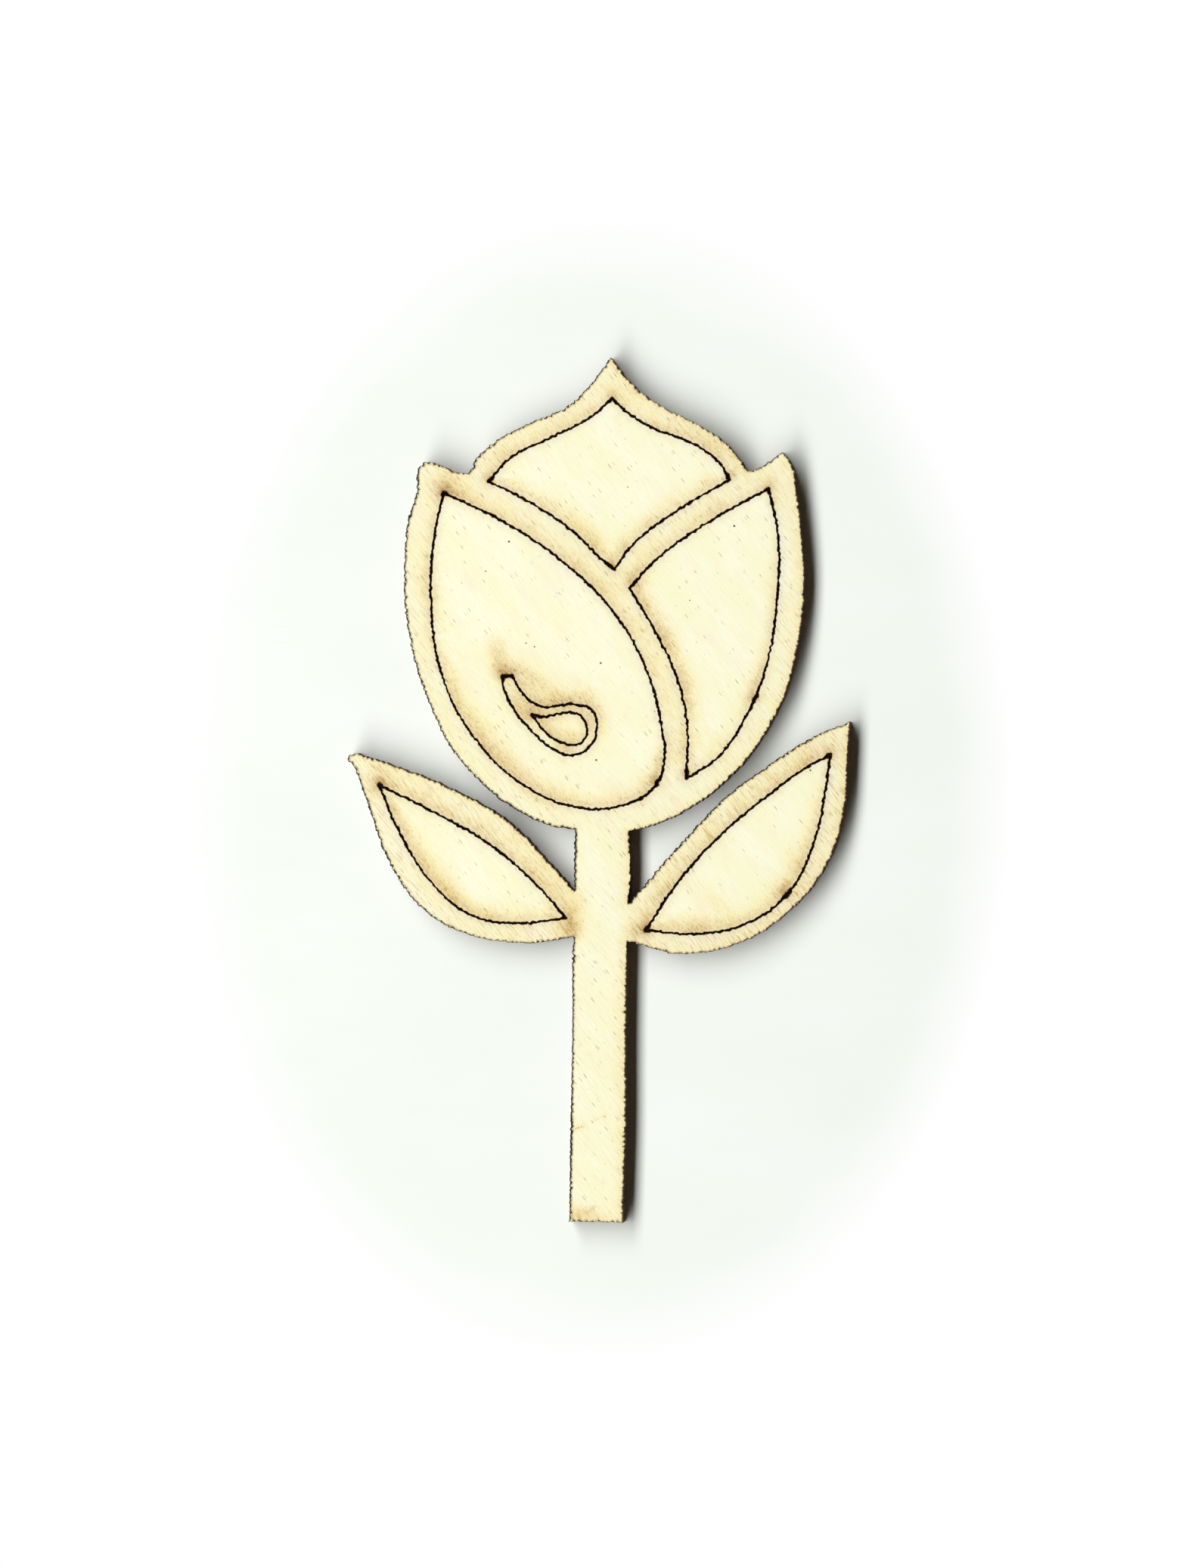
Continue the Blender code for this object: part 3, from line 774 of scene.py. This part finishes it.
def scored_line(loop, details, seed):
    """The middle of a scored line, as the head drew it, with half its width at each point.

    The width swells at every tip and pause, and ripples where the head moved in small steps.
    """
    path, corner = smooth_path(moved_inwards(loop[::-1], LINE_HALF), LINE_STEP)
    run, around = run_of(path)
    sizes = (0.036, 0.62, seed), (0.015, 2.6, seed + 1), (0.020, 1.3, seed + 4)
    sway = wavering(run, around, *sizes)
    path = path + left_of(path) * (sway * off_corners(run, around, corner))[:, None] + LINE_NUDGE
    run, around = run_of(path)
    x, y, wider, along = np.array(details["pauses"]).T
    pauses = beside(path, np.stack((x, y), 1) + STEM_FOOT)[1]
    share = 0.90 + 0.13 * ripple(run, around, 0.9, seed + 2)
    share = share + 0.06 * ripple(run, around, 5.0, seed + 3)
    share += humps(run, around, pauses, along, wider)
    return {
        "path": path,
        "corners": path[corner],
        "half": LINE_HALF * np.clip(share, 0.4, None),
        "run": run,
        "around": around,
    }


face_loops = [loop for loop in loops_round("face_veneer") if signed_area(loop) < 0]
lines = {
    name: scored_line(loop, SCORED[name], 20 + 10 * i)
    for i, (name, loop) in enumerate(zip(SCORED, sorted(face_loops, key=signed_area)))
}

# Points of the face: rows beside each line, a fan round each of its tips, rows inside the cut's
# rim, rings round the specks, and a grid over the rest
face_rows = cut_wall(FACE_LEVELS, (0, 0, 0, 0, 0))
face_rim = face_rows[-1, :, :2]
face_others, face_creases = [], []
crease_start = len(face_rim)
for line in lines.values():
    start = crease_start + np.arange(len(line["path"]))
    face_creases += np.stack((start, np.roll(start, -1)), 1).tolist()
    crease_start += len(start)
    face_others.append(line["path"])
for line in lines.values():
    left, half = left_of(line["path"]), line["half"]
    offsets = [side * row * half for row in GROOVE_ROWS for side in (-1, 1)]
    offsets += [np.full(len(half), side * FLANK_ROW) for side in (-1, 1)]
    reach = np.abs(np.concatenate(offsets))
    rows = np.concatenate([line["path"] + left * offset[:, None] for offset in offsets])
    face_others.append(rows[beside(line["path"], rows)[0] > 0.96 * reach])
    if len(line["corners"]):
        corner_half = np.interp(beside(line["path"], line["corners"])[1], line["run"], half)
        fan = circle(14)
        reach = np.outer(corner_half, GROOVE_ROWS)
        fans = line["corners"][:, None, None] + reach[..., None, None] * fan
        fans, reach = fans.reshape(-1, 2), np.repeat(reach.ravel(), len(fan))
        face_others.append(fans[beside(line["path"], fans)[0] > 0.96 * reach])
face_others.append(ring_points(face_rim, (0.012, 0.035, 0.08, 0.18)))
speck_points = np.concatenate(([(0, 0)], circle(8), 2 * circle(8)))
for x, y, radius in SPECKS:
    face_others.append(STEM_FOOT + (x, y) + radius * speck_points)
face_grid = grid_within(board_outline, 0.5, 12)
clear = beside(face_rim, face_grid)[0] > 0.34
for line in lines.values():
    distance, place = beside(line["path"], face_grid)
    clear &= distance > np.maximum(0.55, 1.75 * np.interp(place, line["run"], line["half"]))
face_others.append(face_grid[clear])
face_upper = skin(face_rim, np.concatenate(face_others), face_creases)
face_lower = skin(face_rows[0, :, :2], ())
face_xy = face_upper[0]

# How high the face lies and what it shows, from each point's distance from the cut and the lines
face_edge, face_place = beside(face_rim, face_xy)
arris_fall = np.clip(1 - face_edge / ARRIS, 0, 1)
sunk = ARRIS * (1 - np.sqrt(1 - arris_fall**2))
face_score = np.full(len(face_xy), NO_LINE)
face_smoke = np.full(len(face_xy), 0.02)
panel = np.zeros(len(face_xy), bool)
browner = np.zeros(len(face_xy))
for seed, (name, line) in enumerate(lines.items(), 100):
    distance, place = beside(line["path"], face_xy)
    within = inside(line["path"], face_xy)
    if name in PETALS_AND_LEAVES:
        panel |= within
    browner += BROWNER_STRIPS.get(name, 0) * np.exp(-((distance / 3.5) ** 4))
    half = np.interp(place, line["run"], line["half"], period=line["around"])
    depth = LINE_DEPTH * np.clip(half / LINE_HALF, 0.7, 1.3)
    sunk = np.maximum(sunk, depth * np.cos(np.pi / 2 * np.clip(distance / half, 0, 1)) ** 2)
    face_score = np.minimum(face_score, distance / half)
    nearest = np.stack([
        np.interp(place, line["run"], line["path"][:, i], period=line["around"]) for i in (0, 1)
    ], 1)
    lee = np.clip((face_xy - nearest) @ SMOKE_DRIFT / np.maximum(distance, 0.01), 0, 1)
    drift = 0.62 * (1 + 0.2 * ripple(place, line["around"], 6.0, seed)) * lee
    # Hot gas keeps smoke off the wood right beside the line
    settled = 1 - 0.65 * np.exp(-((distance / CLEAN_STRIP) ** 2))
    spread = np.exp(-((distance / SMOKE_SPREAD) ** 1.4))
    face_smoke += settled * (drift * spread + 0.22 * np.exp(-distance / 0.7))
    x, y, along, off, strong = np.array(SCORED[name]["puffs"]).T
    puffs = np.stack((x, y), 1) + STEM_FOOT
    puff_places, puff_within = beside(line["path"], puffs)[1], inside(line["path"], puffs)
    for i in range(len(puffs)):
        share = humps(place, line["around"], puff_places[i], along[i], strong[i : i + 1])
        spread = np.exp(-((distance / off[i]) ** 1.4))
        face_smoke += settled * share * spread * (within == puff_within[i])
    for x, y, wider, along in SCORED[name]["pauses"]:
        away = np.linalg.norm(face_xy - STEM_FOOT - (x, y), axis=1)
        face_smoke += 0.8 * max(0, wider) * np.exp(-((away / 0.6) ** 2))

up_stem = face_xy - STEM_FOOT
for x, y, length, width, turn, strong in SMUDGES:
    way = np.array((math.cos(math.radians(turn)), math.sin(math.radians(turn))))
    along, off = (up_stem - (x, y)) @ way, (up_stem - (x, y)) @ (-way[1], way[0])
    face_smoke += strong * np.exp(-((along / length) ** 2) - (off / width) ** 2)
on_stem = np.clip((STEM_HALF + 0.6 - np.abs(up_stem[:, 0])) / 0.6, 0, 1)
on_stem *= np.clip((49.0 - up_stem[:, 1]) / 2.5, 0, 1)
rim_run, rim_around = run_of(face_rim)
facing_right = np.interp(face_place, rim_run, -left_of(face_rim)[:, 0], period=rim_around)
near_cut = np.exp(-face_edge / 0.6)
# Each pulse scorched a notch of the rim.
pulses = np.interp(face_place, rim_run, cut_flutes, period=rim_around)
rim_char_and_shade = 0.02 + 0.05 * pulses + np.interp(face_place, rim_run, cut_char_and_shade, period=rim_around)
# The stem's right side has a row of finer and deeper nicks
nicks = np.clip(ripple(face_place, rim_around, 0.5, 21), 0, 2)
stem_side = (up_stem[:, 1] < STEM_CLEAR + 1) & (up_stem[:, 0] < 4)
rim_char_and_shade += 0.13 * nicks * np.clip(facing_right, 0, 1) * stem_side
# The dark rim is drawn wider where the rim faces left and narrower where it faces right. Beyond the
# char, that lean is painted shade: the thin shadow line beside rims that face left.
face_char_and_shade = face_edge + 0.09 * facing_right + 0.06 * np.clip(facing_right, 0, 1) - rim_char_and_shade
# The wood is darker near the cut, and more so where the rim faces right.
face_smoke += (0.10 + 0.32 * (0.5 + 0.5 * facing_right)) * near_cut
face_smoke += 0.03 * inside(lines["seed_rim"]["path"], face_xy)
# The strips are rough, least on the stem and most round the leaves; near rims that face right the
# wood is also darker and more flecked.
face_border = np.where(panel, 0.0, 0.8 - 0.4 * on_stem)
face_smoke += 0.03 * face_border
face_border += np.where(panel, 0.0, browner * (1.0 - on_stem))
rough_rim = np.clip((1 + facing_right) * np.exp(-face_edge / 0.9), 0, 1.0)
face_border = np.maximum(face_border, rough_rim)
face_soot = np.zeros(len(face_xy))
for x, y, radius in SPECKS:
    away = np.linalg.norm(face_xy - STEM_FOOT - (x, y), axis=1)
    face_soot = np.maximum(face_soot, np.clip(1.5 - away / radius, 0, 1))

face_high = np.column_stack((face_xy, BOARD_TOP - sunk))
face_low = np.column_stack((face_lower[0], np.full(len(face_lower[0]), FACE_LEVELS[0])))
face_hidden = len(face_low)
face_walls = (len(FACE_LEVELS) - 2) * len(cut_path)


def whole_face(on_face, elsewhere):
    """An attribute's values for the lower skin, the face and the wall, in the mesh's order."""
    return np.concatenate((
        np.full(face_hidden, elsewhere), on_face, np.full(face_walls, elsewhere),
    ))


face_ply = board_piece(
    "scored_face_ply",
    (face_low, *face_lower[1:]),
    (face_high, *face_upper[1:]),
    face_rows,
    {
        "edge": whole_face(face_char_and_shade, ON_WALL),
        "run": np.concatenate((
            beside(cut_path, face_lower[0])[1], face_place, np.tile(cut_run, len(FACE_LEVELS) - 2),
        )),
        "smoke": whole_face(face_smoke, 0.0),
        "score": whole_face(face_score, NO_LINE),
        "soot": whole_face(face_soot, 0.0),
        "border": whole_face(face_border, 0.0),
    },
)
face_ply.data.materials.append(
    birch("sanded_birch_face", GRAIN_TURN, (0, 0, 0), linear(150, 106, 60), linear(70, 46, 28))
)
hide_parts("face_veneer")

# The table: a wide sheet of matt white card that the cutout lies on. Seen from the camera it
# turns to plain white away from the cutout, and it keeps the cutout's shadow.

TABLE_HALF = 1.5  # in metres
WHITE_FROM, WHITE_AT = 56.0, 70.0  # distances from the middle, in mm
CARD_SHADES = linear(245, 251, 244), linear(249, 253, 248)


def looked_at(tree):
    """1 for a ray from the camera, from a glossy face or through glass, 0 for the light's own."""
    rays = node(tree, "ShaderNodeLightPath", {})
    looked = maths(tree, "MAXIMUM", rays.outputs["Is Camera Ray"], rays.outputs["Is Glossy Ray"])
    return maths(tree, "MAXIMUM", looked, rays.outputs["Is Transmission Ray"])


table_mesh = bpy.data.meshes.new("white_card")
table_corners = TABLE_HALF * np.array(((-1, -1, 0), (1, -1, 0), (1, 1, 0), (-1, 1, 0)))
table_mesh.from_pydata(table_corners.tolist(), [], [(0, 1, 2, 3)])
table = bpy.data.objects.new("white_card", table_mesh)
bpy.context.scene.collection.objects.link(table)
card = bpy.data.materials.new("matt_white_card")
card.use_nodes = True
tree = card.node_tree
card_shader = tree.nodes["Principled BSDF"]
mottle = noise(tree, in_mm(tree), 0.02, 0.05, detail=4.0)
card_colour = laid(tree, eased(tree, mottle, 0.35, 0.65), *CARD_SHADES)
tree.links.new(card_shader.inputs["Base Color"], card_colour)
card_shader.inputs["Roughness"].default_value = 0.8
card_shader.inputs["Specular IOR Level"].default_value = 0.1
glow = node(tree, "ShaderNodeEmission", {"Color": (1, 1, 1, 1), "Strength": 1.0})
rounded = node(tree, "ShaderNodeMapping", {"Vector": in_mm(tree), "Scale": (1.4, 1, 0)})
away = node(tree, "ShaderNodeVectorMath", {0: rounded.outputs[0]}, operation="LENGTH")
fading = eased(tree, away.outputs["Value"], WHITE_FROM, WHITE_AT)
whiter = maths(tree, "MULTIPLY", looked_at(tree), fading)
table_mix = node(
    tree, "ShaderNodeMixShader", {0: whiter, 1: card_shader.outputs[0], 2: glow.outputs[0]}
)
tree.links.new(tree.nodes["Material Output"].inputs["Surface"], table_mix.outputs[0])
table_mesh.materials.append(card)

# The light: a long lamp high on the left, narrow across the stem and long beside it, so that the
# shadow is crisp and dark to the right and soft above and below. A dim room, which looks white,
# fills it with a little warm light.

LAMP_PLACE = (-0.805, -0.25, 1.5)  # in metres, as the next line
LAMP_WIDTH, LAMP_LENGTH = 0.66, 4.9
LAMP_POWER = 71.5
ROOM_LIGHT = (1.0, 0.78, 0.52, 1)
ROOM_STRENGTH = 0.022
lamp_data = bpy.data.lights.new("strip_lamp", "AREA")
lamp_data.shape = "RECTANGLE"
lamp_data.size = LAMP_WIDTH
lamp_data.size_y = LAMP_LENGTH
lamp_data.energy = LAMP_POWER
lamp = bpy.data.objects.new("strip_lamp", lamp_data)
lamp.location = LAMP_PLACE
lamp.visible_camera = False
bpy.context.scene.collection.objects.link(lamp)

room = bpy.data.worlds.new("white_room")
bpy.context.scene.world = room
room.use_nodes = True
tree = room.node_tree
seen = looked_at(tree)
background = tree.nodes["Background"]
tree.links.new(background.inputs["Color"], laid(tree, seen, ROOM_LIGHT, (1, 1, 1, 1)))
room_strength = eased(tree, seen, 0.0, 1.0, ROOM_STRENGTH, 1.0)
tree.links.new(background.inputs["Strength"], room_strength)

# The camera: above the face, as the photograph was taken, turned by less than a degree and
# leaning over from the right, so that the cut wall shows as a thin dark line on that side.

FRAME_HEIGHT = 0.18413  # what the picture shows of the table, in metres
LENS = 200
AIM = Vector((0.00040, 0.00070, 0.0032))  # on the face, near the middle of the box
CAMERA_LEAN = math.radians(5.0)
CAMERA_ROLL = math.radians(0.92)
camera_data = bpy.data.cameras.new("camera")
camera_data.lens = LENS
camera_distance = camera_data.lens / camera_data.sensor_width * FRAME_HEIGHT
camera = bpy.data.objects.new("camera", camera_data)
bpy.context.scene.collection.objects.link(camera)
bpy.context.scene.camera = camera
rightwards = Vector((math.cos(CAMERA_ROLL), math.sin(CAMERA_ROLL), 0))
upwards = Vector((-math.sin(CAMERA_ROLL), math.cos(CAMERA_ROLL), 0))
backwards = math.sin(CAMERA_LEAN) * rightwards + math.cos(CAMERA_LEAN) * Vector((0, 0, 1))
across = upwards.cross(backwards)
turned = Matrix((across, upwards, backwards)).transposed()
camera.matrix_world = Matrix.Translation(AIM + camera_distance * backwards) @ turned.to_4x4()

bpy.context.scene.view_settings.view_transform = "Standard"
